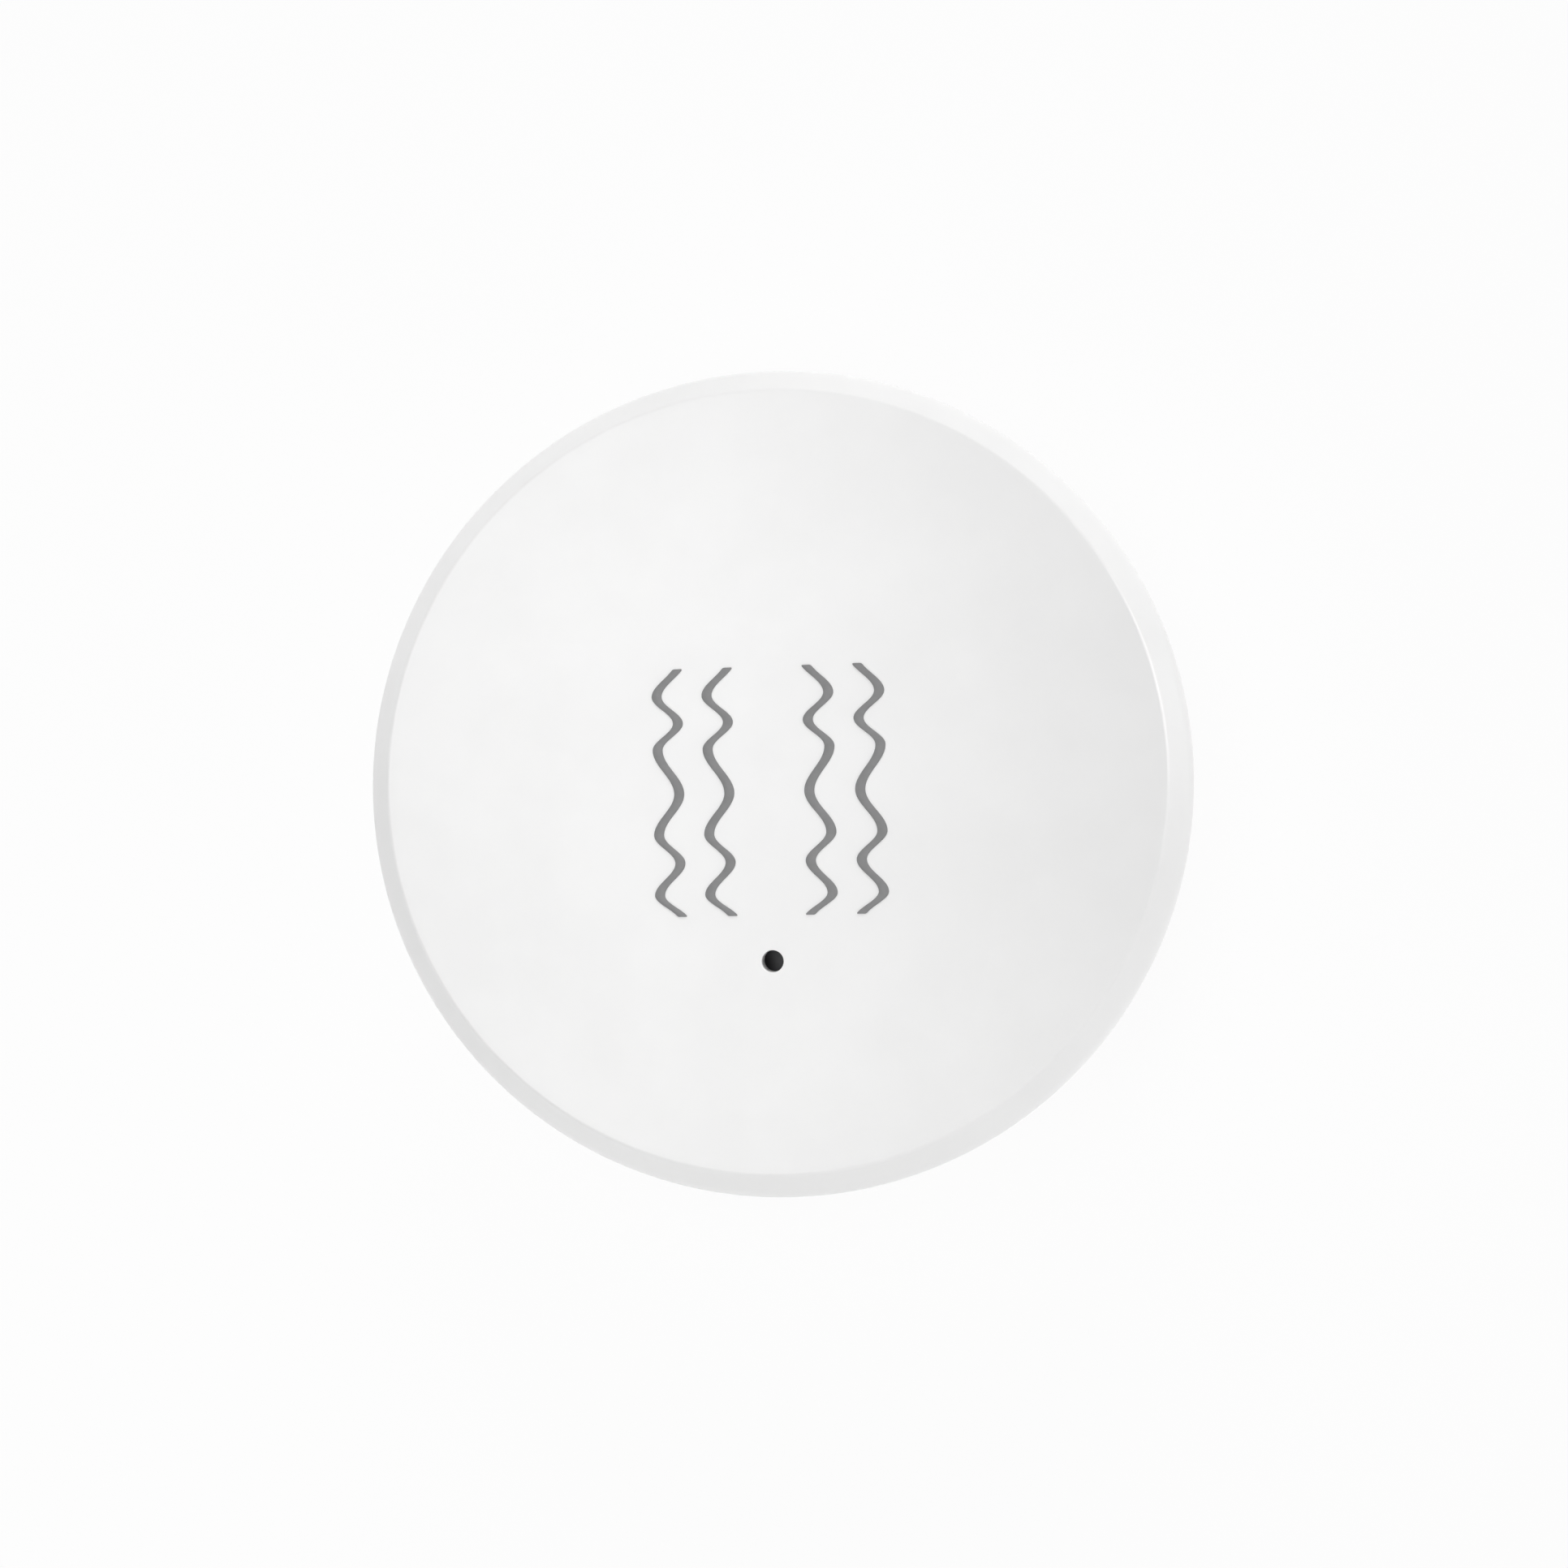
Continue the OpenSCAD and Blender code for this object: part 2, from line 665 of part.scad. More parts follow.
module reset_switch_terminals() {
    color("#c9ccd0") for (side = [-1, 1], place = [-1, 1])
        block(
            [terminal_l, terminal_w, terminal_t],
            switch_at + [side * (switch_w + terminal_l) / 2, place * terminal_span / 2],
            board_top
        );
}

module reset_switch_dome() {
    color("#c8b070") translate([0, pin_y, 0]) intersection() {
        translate([0, 0, well_z]) cylinder(r = dome_foot_r + eps, h = switch_h);
        translate([0, 0, dome_top_z - dome_r]) difference() {
            sphere(dome_r);
            sphere(dome_r - dome_t);
        }
    }
}

module reset_switch_cover() {
    color("#c4c7cb") difference() {
        block([switch_w, switch_w, cover_t], switch_at, cover_z);
        translate([0, pin_y, cover_z - eps])
            cylinder(r = stem_d / 2 + stem_clear, h = cover_t + 2 * eps);
    }
}

module reset_switch_stem() {
    color("#2b2c30") translate([0, pin_y, stem_foot_z]) union() {
        cylinder(d = stem_foot_d, h = stem_foot_t);
        cylinder(d = stem_d, h = stem_top_z - stem_foot_z);
    }
}

module radio_module() {
    color("#27593c") block([module_w, module_l, module_t], [0, module_y], board_top);
}

module radio_shield() {
    color("#c6c9cc") difference() {
        block([shield_w, shield_l, shield_h], [0, shield_y], module_z);
        block(
            [shield_w - 2 * shield_t, shield_l - 2 * shield_t, shield_h - shield_t + eps],
            [0, shield_y],
            module_z - eps
        );
    }
}

// A folded track: legs joined by turn at the top and at the bottom
module radio_antenna() {
    top_y = module_high_y - track_inset;
    places = row_places(track_legs, track_pitch);
    color("#c58b52") translate([0, 0, module_z]) linear_extrude(track_t) {
        for (x = places) translate([x - track_w / 2, top_y - track_leg]) square([track_w, track_leg]);
        for (i = [0 : track_legs - 2])
            translate([places[i] - track_w / 2, i % 2 == 0 ? top_y - track_w : top_y - track_leg])
                square([track_pitch + track_w, track_w]);
    }
}

module radio_solder_joints() {
    color("#bdc0c4") for (side = [-1, 1], y = row_places(joint_count, joint_pitch))
        block([joint_w, joint_w, joint_h], [side * (module_w + joint_w) / 2, module_y + y], board_top);
}

module motion_sensor_chip() {
    color("#1f2022") block([sensor_w, sensor_w, sensor_h], sensor_at, board_top);
}

module clock_crystal() {
    straight = crystal_l - crystal_w;
    color("#cfd1d4") union() {
        block([straight, crystal_w, crystal_h], crystal_at, board_top);
        for (side = [-1, 1])
            translate([crystal_at[0] + side * straight / 2, crystal_at[1], board_top])
                cylinder(d = crystal_w, h = crystal_h);
    }
}

module voltage_regulator() {
    color("#232427")
        block([regulator_l, regulator_w, regulator_h - lead_t], regulator_at, board_top + lead_t);
}

module regulator_leads() {
    reach = (regulator_w + lead_l) / 2;
    color("#c9ccd0") {
        for (side = [-1, 1])
            block([lead_w, lead_l, lead_t], regulator_at + [side * lead_span / 2, -reach], board_top);
        block([lead_w, lead_l, lead_t], regulator_at + [0, reach], board_top);
    }
}

module status_lamp_base() {
    color("#e6e2d6") block([lamp_l, lamp_w, lamp_base_t], lamp_at, board_top);
}

module status_lamp_lens() {
    color("#d9e4c8") block([lamp_lens_l, lamp_w, lamp_lens_h], lamp_at, board_top + lamp_base_t);
}

module storage_capacitor() {
    color("#c08a3a") block([storage_l, storage_w, storage_h], storage_at, board_top);
}

module storage_capacitor_tabs() {
    color("#c9ccd0") for (side = [-1, 1])
        block(
            [tab_t, storage_w / 2, storage_h / 2],
            storage_at + [side * (storage_l + tab_t) / 2, 0],
            board_top
        );
}

// Bodies of one row of chips, which lie along Y
module chip_row(y) {
    for (x = row_places(chip_count, chip_pitch))
        block([chip_w, chip_l - 2 * chip_end, chip_h], [x, y], board_top);
}

module chip_row_ends(y) {
    for (x = row_places(chip_count, chip_pitch), side = [-1, 1])
        block([chip_w, chip_end, chip_h], [x, y + side * (chip_l - chip_end) / 2], board_top);
}

module chip_capacitors() {
    color("#a98a63") chip_row(capacitor_y);
}

module chip_resistors() {
    color("#1c1d20") chip_row(resistor_y);
}

module chip_ends() {
    color("#c9ccd0") {
        chip_row_ends(capacitor_y);
        chip_row_ends(resistor_y);
    }
}

module test_pads() {
    color("#d0a85c") for (x = row_places(pad_dot_count, pad_dot_pitch))
        translate([x, pad_dot_y, board_z - pad_dot_t]) cylinder(d = pad_dot_d, h = pad_dot_t);
}

adhesive_pad();
base_plate();
front_shell();
wave_marks();
main_board();
board_screws();
battery_holder();
battery_clip();
negative_contact();
coin_cell_can();
coin_cell_seal();
coin_cell_cap();
reset_switch_housing();
reset_switch_terminals();
reset_switch_dome();
reset_switch_cover();
reset_switch_stem();
radio_module();
radio_shield();
radio_antenna();
radio_solder_joints();
motion_sensor_chip();
clock_crystal();
voltage_regulator();
regulator_leads();
status_lamp_base();
status_lamp_lens();
storage_capacitor();
storage_capacitor_tabs();
chip_capacitors();
chip_resistors();
chip_ends();
test_pads();
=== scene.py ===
"""Looks of a vibration sensor tag: a round white puck on its wall plate, lying face up, seen from above."""
import json
import math

import bmesh
import bpy
from mathutils import Matrix, Vector, noise


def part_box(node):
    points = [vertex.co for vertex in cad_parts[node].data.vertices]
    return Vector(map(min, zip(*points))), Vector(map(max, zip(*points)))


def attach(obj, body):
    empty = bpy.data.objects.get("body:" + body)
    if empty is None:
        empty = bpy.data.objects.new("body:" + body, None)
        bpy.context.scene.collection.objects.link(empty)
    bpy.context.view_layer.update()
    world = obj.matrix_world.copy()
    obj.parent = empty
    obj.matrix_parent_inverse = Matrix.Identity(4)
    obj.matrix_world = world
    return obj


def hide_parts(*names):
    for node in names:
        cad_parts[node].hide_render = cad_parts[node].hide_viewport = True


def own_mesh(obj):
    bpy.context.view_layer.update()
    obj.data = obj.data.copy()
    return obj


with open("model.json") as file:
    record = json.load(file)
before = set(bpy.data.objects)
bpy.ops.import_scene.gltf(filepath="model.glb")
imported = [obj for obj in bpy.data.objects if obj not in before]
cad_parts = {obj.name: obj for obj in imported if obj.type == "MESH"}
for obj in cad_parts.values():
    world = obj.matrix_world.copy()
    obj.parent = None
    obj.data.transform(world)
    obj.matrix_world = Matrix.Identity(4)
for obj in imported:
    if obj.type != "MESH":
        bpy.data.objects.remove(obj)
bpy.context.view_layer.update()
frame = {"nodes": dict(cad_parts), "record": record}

MM = 0.001
TURN = 2 * math.pi

# Case, in metres, from the wall outwards
shell_low, shell_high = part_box("front_shell")
pad_low, pad_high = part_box("adhesive_pad")
BODY_R = shell_high.x
SHELL_Z = shell_low.z
BOARD_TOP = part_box("main_board")[1].z
FACE_BACK = BOARD_TOP + 3.2 * MM
FACE_T = 1.6 * MM
DISH_DEPTH = 0.6 * MM
DISH_Z = FACE_BACK + FACE_T
BODY_H = DISH_Z + DISH_DEPTH
BORE_R = BODY_R - 1.8 * MM

# Rim section
BEVEL_W = 1.08 * MM
BEVEL_ANGLE = math.radians(45)
RIM_ROUND = 1.6 * MM
RIDGE_ROUND = 0.3 * MM
SKIRT_ROUND = 0.4 * MM
INNER_ROUND = 0.9 * MM

# Details inside the shell
LOCK_ANGLES = [math.radians(a) for a in (90, 210, 330)]
LEDGE_ANGLE = math.radians(16)
LEDGE_W = 1.2 * MM
LEDGE_T = 1 * MM
BOSS_ANGLES = [math.radians(a) for a in (30, 150, 270)]
BOSS_RING_R = 16.5 * MM
BOSS_R = 2.2 * MM
SCREW_R = 0.8 * MM
SCREW_DEPTH = 2.6 * MM

# Pin hole and its guide tube
HOLE_Y = -9.95 * MM
HOLE_R = 0.6 * MM
HOLE_EDGE = 0.07 * MM
HOLE_LIP = 1.2 * MM
TUBE_BORE_R = 0.9 * MM
TUBE_R = 1.6 * MM
TUBE_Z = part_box("reset_switch_stem")[1].z + 0.4 * MM

# Snap dome under the switch's stem
DOME_T = 0.08 * MM

# Printed marks
WAVE_PITCH = 2.79 * MM
WAVES_A_SIDE = 2
WAVE_W = 0.555 * MM
WAVE_SWING = 0.58 * MM
TIP_SWING = 0.74 * MM
WAVE_BENDS = [y * MM for y in (-7.04, -5.63, -3.88, -2.33, -0.07, 2.37, 3.83, 5.32, 7.2)]
WAVE_HALF_H = 6.83 * MM
WAVE_Y = -0.62 * MM
WAVE_TIP = 0.09 * MM
WAVE_STEPS = 220
INK_T = 0.04 * MM
INK_GAP = 0.005 * MM
INK_EDGE = 0.025 * MM

# Fineness of the meshes
LATHE_STEPS = 288
SMALL_STEPS = 64
DISH_RINGS = 54
BACK_RINGS = 14
RIDGE_STEPS = 10
RIM_STEPS = 18
ROUND_STEPS = 8
DOME_STEPS = 12
WELD_GAP = 0.001 * MM


# Meshes

def add_object(name, verts, faces):
    mesh = bpy.data.meshes.new(name)
    mesh.from_pydata(verts, [], faces)
    work = bmesh.new()
    work.from_mesh(mesh)
    bmesh.ops.recalc_face_normals(work, faces=work.faces)
    work.to_mesh(mesh)
    work.free()
    obj = bpy.data.objects.new(name, mesh)
    bpy.context.scene.collection.objects.link(obj)
    return obj


def smooth(obj, angle=32):
    """Smooth shading, broken at edges that turn more than angle degrees."""
    obj.data.shade_smooth()
    obj.data.set_sharp_from_angle(angle=math.radians(angle))
    return obj


def ring_points(profile, steps, centre=(0, 0), angles=None):
    """Vertices and quads of a closed section (r, z) that is swept round a vertical line through centre."""
    closed = angles is None
    angles = [TURN * k / steps for k in range(steps)] if closed else angles
    verts, rings, faces = [], [], []
    for r, z in profile:
        if r == 0:
            rings.append([len(verts)] * len(angles))
            verts.append((centre[0], centre[1], z))
            continue
        rings.append(list(range(len(verts), len(verts) + len(angles))))
        verts += [(centre[0] + r * math.cos(a), centre[1] + r * math.sin(a), z) for a in angles]
    count = len(angles)
    pairs = zip(rings, rings[1:] if profile[0][0] == 0 else rings[1:] + rings[:1])
    for low, high in pairs:
        for k in range(count if closed else count - 1):
            n = (k + 1) % count
            corners = [low[k], high[k], high[n], low[n]]
            faces.append(list(dict.fromkeys(corners)))
    if not closed:
        faces += [[ring[0] for ring in rings], [ring[-1] for ring in reversed(rings)]]
    return verts, faces


def lathe(name, profile, steps=LATHE_STEPS, centre=(0, 0), angles=None):
    return add_object(name, *ring_points(profile, steps, centre, angles))


def arc(centre, radius, first, last, steps):
    """Points of an arc in the section; an angle of 0 points along +Z and 90 along +r, in degrees."""
    turns = [math.radians(first + (last - first) * i / steps) for i in range(steps + 1)]
    return [(centre[0] + radius * math.sin(a), centre[1] + radius * math.cos(a)) for a in turns]


def line(start, end, shares):
    return [tuple(a + (b - a) * s for a, b in zip(start, end)) for s in shares]


def join(obj, other, operation):
    """Joins or cuts a mesh with another, which is then gone."""
    change = obj.modifiers.new("change", "BOOLEAN")
    change.operation = operation
    change.solver = "MANIFOLD"
    change.object = other
    made = bpy.data.meshes.new_from_object(obj.evaluated_get(bpy.context.evaluated_depsgraph_get()))
    obj.modifiers.remove(change)
    obj.data = made
    bpy.data.objects.remove(other)


def weld(obj):
    """Merges the near-double points that joins and cuts leave."""
    work = bmesh.new()
    work.from_mesh(obj.data)
    bmesh.ops.remove_doubles(work, verts=work.verts, dist=WELD_GAP)
    work.to_mesh(obj.data)
    work.free()


# Front shell

ridge_r = BODY_R - RIM_ROUND + RIM_ROUND * math.sin(BEVEL_ANGLE) - BEVEL_W
DISH_R = (ridge_r ** 2 + DISH_DEPTH ** 2) / (2 * DISH_DEPTH)


def dish_height(x, y, under=0.0):
    """Height of the face at a place, or of the surface that lies this far under it."""
    radius = DISH_R + under
    return DISH_Z + DISH_R - math.sqrt(radius ** 2 - x * x - y * y)


def shell_section():
    """Closed half section of the shell, from the middle of the face round to the middle of its back."""
    sin, cos = math.sin(BEVEL_ANGLE), math.cos(BEVEL_ANGLE)
    round_c = Vector((BODY_R - RIM_ROUND, BODY_H - BEVEL_W * math.tan(BEVEL_ANGLE) - RIM_ROUND * cos))
    bevel_low = round_c + RIM_ROUND * Vector((sin, cos))
    bevel_high = bevel_low + BEVEL_W * Vector((-1, math.tan(BEVEL_ANGLE)))
    dish_c = Vector((0, DISH_Z + DISH_R))
    # The ridge's round lies as far under the bevel as under the dish
    along = Vector((cos, -sin))
    start = bevel_high - RIDGE_ROUND * Vector((sin, cos))
    off = start - dish_c
    half = off.dot(along)
    ridge_c = start + (math.sqrt(half ** 2 - off.dot(off) + (DISH_R + RIDGE_ROUND) ** 2) - half) * along
    to_dish = dish_c - ridge_c
    dish_turn = math.degrees(math.atan2(to_dish.x, to_dish.y))
    ridge = arc(ridge_c, RIDGE_ROUND, dish_turn, math.degrees(BEVEL_ANGLE), RIDGE_STEPS)
    # The rings crowd towards the ridge
    dish = [(0, DISH_Z)]
    for i in range(1, DISH_RINGS):
        r = ridge[0][0] * (1 - (1 - i / DISH_RINGS) ** 1.25)
        dish.append((r, dish_height(r, 0)))
    bevel = line(ridge[-1], bevel_low, (0.08, 0.5, 0.92))
    rim = arc(round_c, RIM_ROUND, math.degrees(BEVEL_ANGLE), 90, RIM_STEPS)
    skirt = arc((BODY_R - SKIRT_ROUND, SHELL_Z + SKIRT_ROUND), SKIRT_ROUND, 90, 180, ROUND_STEPS)
    wall = line(rim[-1], skirt[0], (0.02, 0.5, 0.98))
    corner_z = dish_height(BORE_R - INNER_ROUND, 0, FACE_T)
    inner = arc((BORE_R - INNER_ROUND, corner_z - INNER_ROUND), INNER_ROUND, 90, 0, ROUND_STEPS)
    back_radii = [inner[-1][0] * (1 - i / BACK_RINGS) for i in range(1, BACK_RINGS + 1)]
    back = [(r, dish_height(r, 0, FACE_T)) for r in back_radii]
    return dish + ridge + bevel + rim + wall + skirt + [(BORE_R, SHELL_Z)] + inner + back


def column(r, low, high):
    return [(0, low), (r, low), (r, high), (0, high)]


def polar(r, angle):
    return r * math.cos(angle), r * math.sin(angle)


def make_shell():
    shell = lathe("front_shell_moulding", shell_section())
    # How far a form reaches into what it joins or past what it cuts
    inside = 0.5 * MM
    ledge_steps = 12
    for angle in BOSS_ANGLES:
        boss = column(BOSS_R, BOARD_TOP, FACE_BACK + FACE_T / 2)
        join(shell, lathe("boss", boss, SMALL_STEPS, polar(BOSS_RING_R, angle)), "UNION")
    for middle in LOCK_ANGLES:
        low_r, high_r = BORE_R - LEDGE_W, BORE_R + inside
        top = SHELL_Z + LEDGE_T
        section = [(low_r, SHELL_Z), (high_r, SHELL_Z), (high_r, top), (low_r, top)]
        turns = [middle + LEDGE_ANGLE * (i / ledge_steps - 0.5) for i in range(ledge_steps + 1)]
        join(shell, lathe("ledge", section, angles=turns), "UNION")
    tube = column(TUBE_R, TUBE_Z, dish_height(0, HOLE_Y) - FACE_T / 2)
    join(shell, lathe("tube", tube, SMALL_STEPS, (0, HOLE_Y)), "UNION")
    for angle in BOSS_ANGLES:
        bore = column(SCREW_R, BOARD_TOP - inside, BOARD_TOP + SCREW_DEPTH)
        join(shell, lathe("bore", bore, SMALL_STEPS, polar(BOSS_RING_R, angle)), "DIFFERENCE")
    # The hole's mouth has a small round edge
    mouth = dish_height(0, HOLE_Y)
    edge = arc((HOLE_R + HOLE_EDGE, mouth - HOLE_EDGE), HOLE_EDGE, -90, -15, 6)
    flare = edge[-1][0] + 0.3 * HOLE_EDGE
    lip_z = mouth - HOLE_LIP
    hole = [(0, TUBE_Z - inside), (TUBE_BORE_R, TUBE_Z - inside), (TUBE_BORE_R, lip_z), (HOLE_R, lip_z)]
    hole += edge + [(flare, mouth + inside), (0, mouth + inside)]
    join(shell, lathe("hole", hole, SMALL_STEPS, (0, HOLE_Y)), "DIFFERENCE")
    weld(shell)
    return smooth(shell)


# Printed marks

def swing_at(bend):
    """Sideways place of a bend, to either side in turn; the bends past the tips lie farther out."""
    tip = bend in (0, len(WAVE_BENDS) - 1)
    return (-1) ** bend * (TIP_SWING if tip else WAVE_SWING)


def wave_offset(y):
    """Sideways place of a mark's middle line, which swings over from each bend to the next."""
    below = max(i for i, bend in enumerate(WAVE_BENDS) if bend <= y)
    share = (y - WAVE_BENDS[below]) / (WAVE_BENDS[below + 1] - WAVE_BENDS[below])
    start, end = (swing_at(bend) for bend in (below, below + 1))
    return start + (end - start) * (1 - math.cos(math.pi * share)) / 2


def wave_half_width(y):
    """Half of a mark's sideways width, which narrows in the rounded tips."""
    left = WAVE_HALF_H - abs(y)
    half = WAVE_W / 2
    if left >= WAVE_TIP:
        return half
    return half - WAVE_TIP + math.sqrt(max(0, WAVE_TIP ** 2 - (WAVE_TIP - left) ** 2))


def make_marks():
    """Ink bars of a low domed section, one per mark, which follow the face."""
    verts, faces = [], []
    # Points of a section
    across = 6
    for side in (-1, 1):
        for place in range(1, WAVES_A_SIDE + 1):
            first = len(verts)
            for i in range(WAVE_STEPS + 1):
                # Steps crowd towards the tips, where the outline turns
                y = -WAVE_HALF_H * math.cos(math.pi * i / WAVE_STEPS)
                middle = -side * (place * WAVE_PITCH - wave_offset(y))
                half = wave_half_width(y)
                inner = max(half - INK_EDGE, half / 2)
                section = [(-half, 0), (-half, 0.6), (-inner, 1), (inner, 1), (half, 0.6), (half, 0)]
                for dx, lift in section:
                    at = middle + dx, WAVE_Y + y
                    verts.append((*at, dish_height(*at) + INK_GAP + lift * INK_T))
            for i in range(WAVE_STEPS):
                for k in range(across):
                    a, b = first + i * across + k, first + i * across + (k + 1) % across
                    faces.append([a, b, b + across, a + across])
            last = first + WAVE_STEPS * across
            faces.append(list(range(first + across - 1, first - 1, -1)))
            faces.append(list(range(last, last + across)))
    return smooth(add_object("printed_waves", verts, faces), 50)


# Foam pad

def make_pad():
    """Die-cut foam: flat faces, a side that swells a little and is open-celled where the knife went."""
    low, high, radius = pad_low.z, pad_high.z, pad_high.x
    edge = 0.08 * MM
    swell = 0.14 * MM
    layers = 14
    profile = [(0, low), (radius * 0.5, low), (radius * 0.9, low), (radius - swell - edge, low)]
    for i in range(layers + 1):
        share = i / layers
        bulge = swell * (1 - (2 * share - 1) ** 2)
        profile.append((radius - swell + bulge, low + edge * 0.5 + (high - low - edge) * share))
    profile += [(radius - swell - edge, high), (radius * 0.9, high), (radius * 0.5, high), (0, high)]
    pad = lathe("foam_pad", profile, 2 * LATHE_STEPS)
    cell = 0.25 * MM
    depth = 0.07 * MM
    for vert in pad.data.vertices:
        flat = math.hypot(vert.co.x, vert.co.y)
        if flat > radius - 1.5 * swell and low + edge / 4 < vert.co.z < high - edge / 4:
            pit = max(0, noise.noise(vert.co / cell))
            vert.co.x *= 1 - pit * depth / flat
            vert.co.y *= 1 - pit * depth / flat
    pad.data.update()
    return smooth(pad, 60)


# Snap dome

def make_dome():
    """A thin cap of a sphere that stands on its edge."""
    low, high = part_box("reset_switch_dome")
    foot, rise = high.x, high.z - low.z
    outer = (foot ** 2 + rise ** 2) / (2 * rise)
    inner = outer - DOME_T
    centre = (0, high.z - outer)
    outer_turn, inner_turn = (math.degrees(math.acos((outer - rise) / r)) for r in (outer, inner))
    section = arc(centre, outer, 0, outer_turn, DOME_STEPS) + arc(centre, inner, inner_turn, 0, DOME_STEPS)
    section[-1] = (0, high.z - DOME_T)
    return smooth(lathe("snap_dome", section, SMALL_STEPS, (0, HOLE_Y)))


def flatten(dome):
    """Gives the dome a mesh of its own; its shape stays as made."""
    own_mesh(dome)


# Materials

class Surface:
    """A Principled material with textures laid in the piece's own place, in metres."""

    def __init__(self, name, roughness, metallic=0.0):
        self.material = bpy.data.materials.new(name)
        self.material.use_nodes = True
        self.nodes = self.material.node_tree.nodes
        self.links = self.material.node_tree.links
        self.shader = self.nodes["Principled BSDF"]
        self.shader.inputs["Metallic"].default_value = metallic
        self.shader.inputs["Roughness"].default_value = roughness
        self.place = self.nodes.new("ShaderNodeTexCoord").outputs["Object"]

    def stretched(self, scale):
        node = self.nodes.new("ShaderNodeMapping")
        node.inputs["Scale"].default_value = scale
        self.links.new(self.place, node.inputs["Vector"])
        return node.outputs["Vector"]

    def noise(self, size, detail=3.0, place=None):
        node = self.nodes.new("ShaderNodeTexNoise")
        node.inputs["Scale"].default_value = 1 / size
        node.inputs["Detail"].default_value = detail
        self.links.new(place or self.place, node.inputs["Vector"])
        return node.outputs["Fac"]

    def cells(self, size, feature="F1"):
        node = self.nodes.new("ShaderNodeTexVoronoi")
        node.feature = feature
        node.inputs["Scale"].default_value = 1 / size
        self.links.new(self.place, node.inputs["Vector"])
        return node.outputs["Distance"]

    def colour(self, factor, first, second, start=0.35, end=0.65):
        ramp = self.nodes.new("ShaderNodeValToRGB")
        low, high = ramp.color_ramp.elements
        low.position, low.color = start, (*first, 1)
        high.position, high.color = end, (*second, 1)
        self.links.new(factor, ramp.inputs["Fac"])
        self.links.new(ramp.outputs["Color"], self.shader.inputs["Base Color"])
        return ramp

    def roughness(self, factor, low, high):
        """Uneven gloss; a noise lies mostly between 0.3 and 0.7."""
        node = self.nodes.new("ShaderNodeMapRange")
        node.inputs["From Min"].default_value = 0.3
        node.inputs["From Max"].default_value = 0.7
        node.inputs["To Min"].default_value = low
        node.inputs["To Max"].default_value = high
        self.links.new(factor, node.inputs["Value"])
        self.links.new(node.outputs["Result"], self.shader.inputs["Roughness"])

    def bump(self, factor, depth, strength=1.0):
        node = self.nodes.new("ShaderNodeBump")
        node.inputs["Strength"].default_value = strength
        node.inputs["Distance"].default_value = depth
        self.links.new(factor, node.inputs["Height"])
        target = self.shader.inputs["Normal"]
        if target.is_linked:
            self.links.new(target.links[0].from_socket, node.inputs["Normal"])
        self.links.new(node.outputs["Normal"], target)


def shade(colour, factor):
    return tuple(c * factor for c in colour)


def moulded(name, colour, roughness, grain=0.09 * MM, depth=0.0012 * MM, spread=0.012):
    """Moulded plastic: a faint cloudy tone, uneven gloss and a fine eroded grain."""
    surface = Surface(name, roughness)
    surface.colour(surface.noise(5 * MM), shade(colour, 1 - spread), shade(colour, 1 + spread))
    surface.roughness(surface.noise(0.8 * MM), roughness - 0.03, roughness + 0.03)
    surface.bump(surface.noise(grain, 2.0), depth)
    # The mould's slight waviness
    surface.bump(surface.noise(4 * MM, 1.0), 0.002 * MM)
    return surface.material


def ink(name, colour):
    """Pad-printed ink: flat, with a slightly uneven film."""
    surface = Surface(name, 0.6)
    surface.colour(surface.noise(0.7 * MM), shade(colour, 0.95), shade(colour, 1.05))
    surface.roughness(surface.noise(0.3 * MM), 0.52, 0.66)
    surface.bump(surface.noise(0.06 * MM), 0.0015 * MM)
    return surface.material


def foam(name, colour):
    """Closed-cell foam tape: small cells, with painted shade in their hollows."""
    surface = Surface(name, 0.9)
    cells = surface.cells(0.22 * MM)
    # Painted shade: the colour darkens towards the middle of each cell's hollow
    surface.colour(cells, shade(colour, 0.84), shade(colour, 1.03), 0.1, 0.6)
    surface.bump(cells, 0.03 * MM)
    surface.bump(surface.noise(0.9 * MM), 0.02 * MM)
    surface.shader.inputs["Sheen Weight"].default_value = 0.15
    return surface.material


def laminate(name, colour):
    """Glass laminate under solder mask: tracks show as lighter lines, and the weave dimples the gloss."""
    surface = Surface(name, 0.28)
    tracks = surface.nodes.new("ShaderNodeTexBrick")
    tracks.inputs["Scale"].default_value = 1 / (2.4 * MM)
    tracks.inputs["Mortar Size"].default_value = 0.06
    tracks.inputs["Mortar Smooth"].default_value = 0.2
    tracks.inputs["Color1"].default_value = (*colour, 1)
    tracks.inputs["Color2"].default_value = (*shade(colour, 0.97), 1)
    tracks.inputs["Mortar"].default_value = (*shade(colour, 1.18), 1)
    surface.links.new(surface.place, tracks.inputs["Vector"])
    surface.links.new(tracks.outputs["Color"], surface.shader.inputs["Base Color"])
    surface.roughness(surface.noise(0.5 * MM), 0.24, 0.36)
    surface.bump(tracks.outputs["Fac"], 0.008 * MM)
    surface.bump(surface.noise(0.3 * MM), 0.004 * MM)
    return surface.material


def plated(name, colour, roughness, along=(1, 1, 1), wear=0.08):
    """Plated sheet metal: fine drawn lines and a slightly uneven plating."""
    surface = Surface(name, roughness, metallic=1.0)
    lines = surface.noise(0.12 * MM, 4.0, surface.stretched(along))
    surface.colour(surface.noise(1.6 * MM), shade(colour, 1 - wear), shade(colour, 1 + wear / 2))
    surface.roughness(lines, roughness - 0.06, roughness + 0.08)
    surface.bump(lines, 0.0015 * MM)
    return surface.material


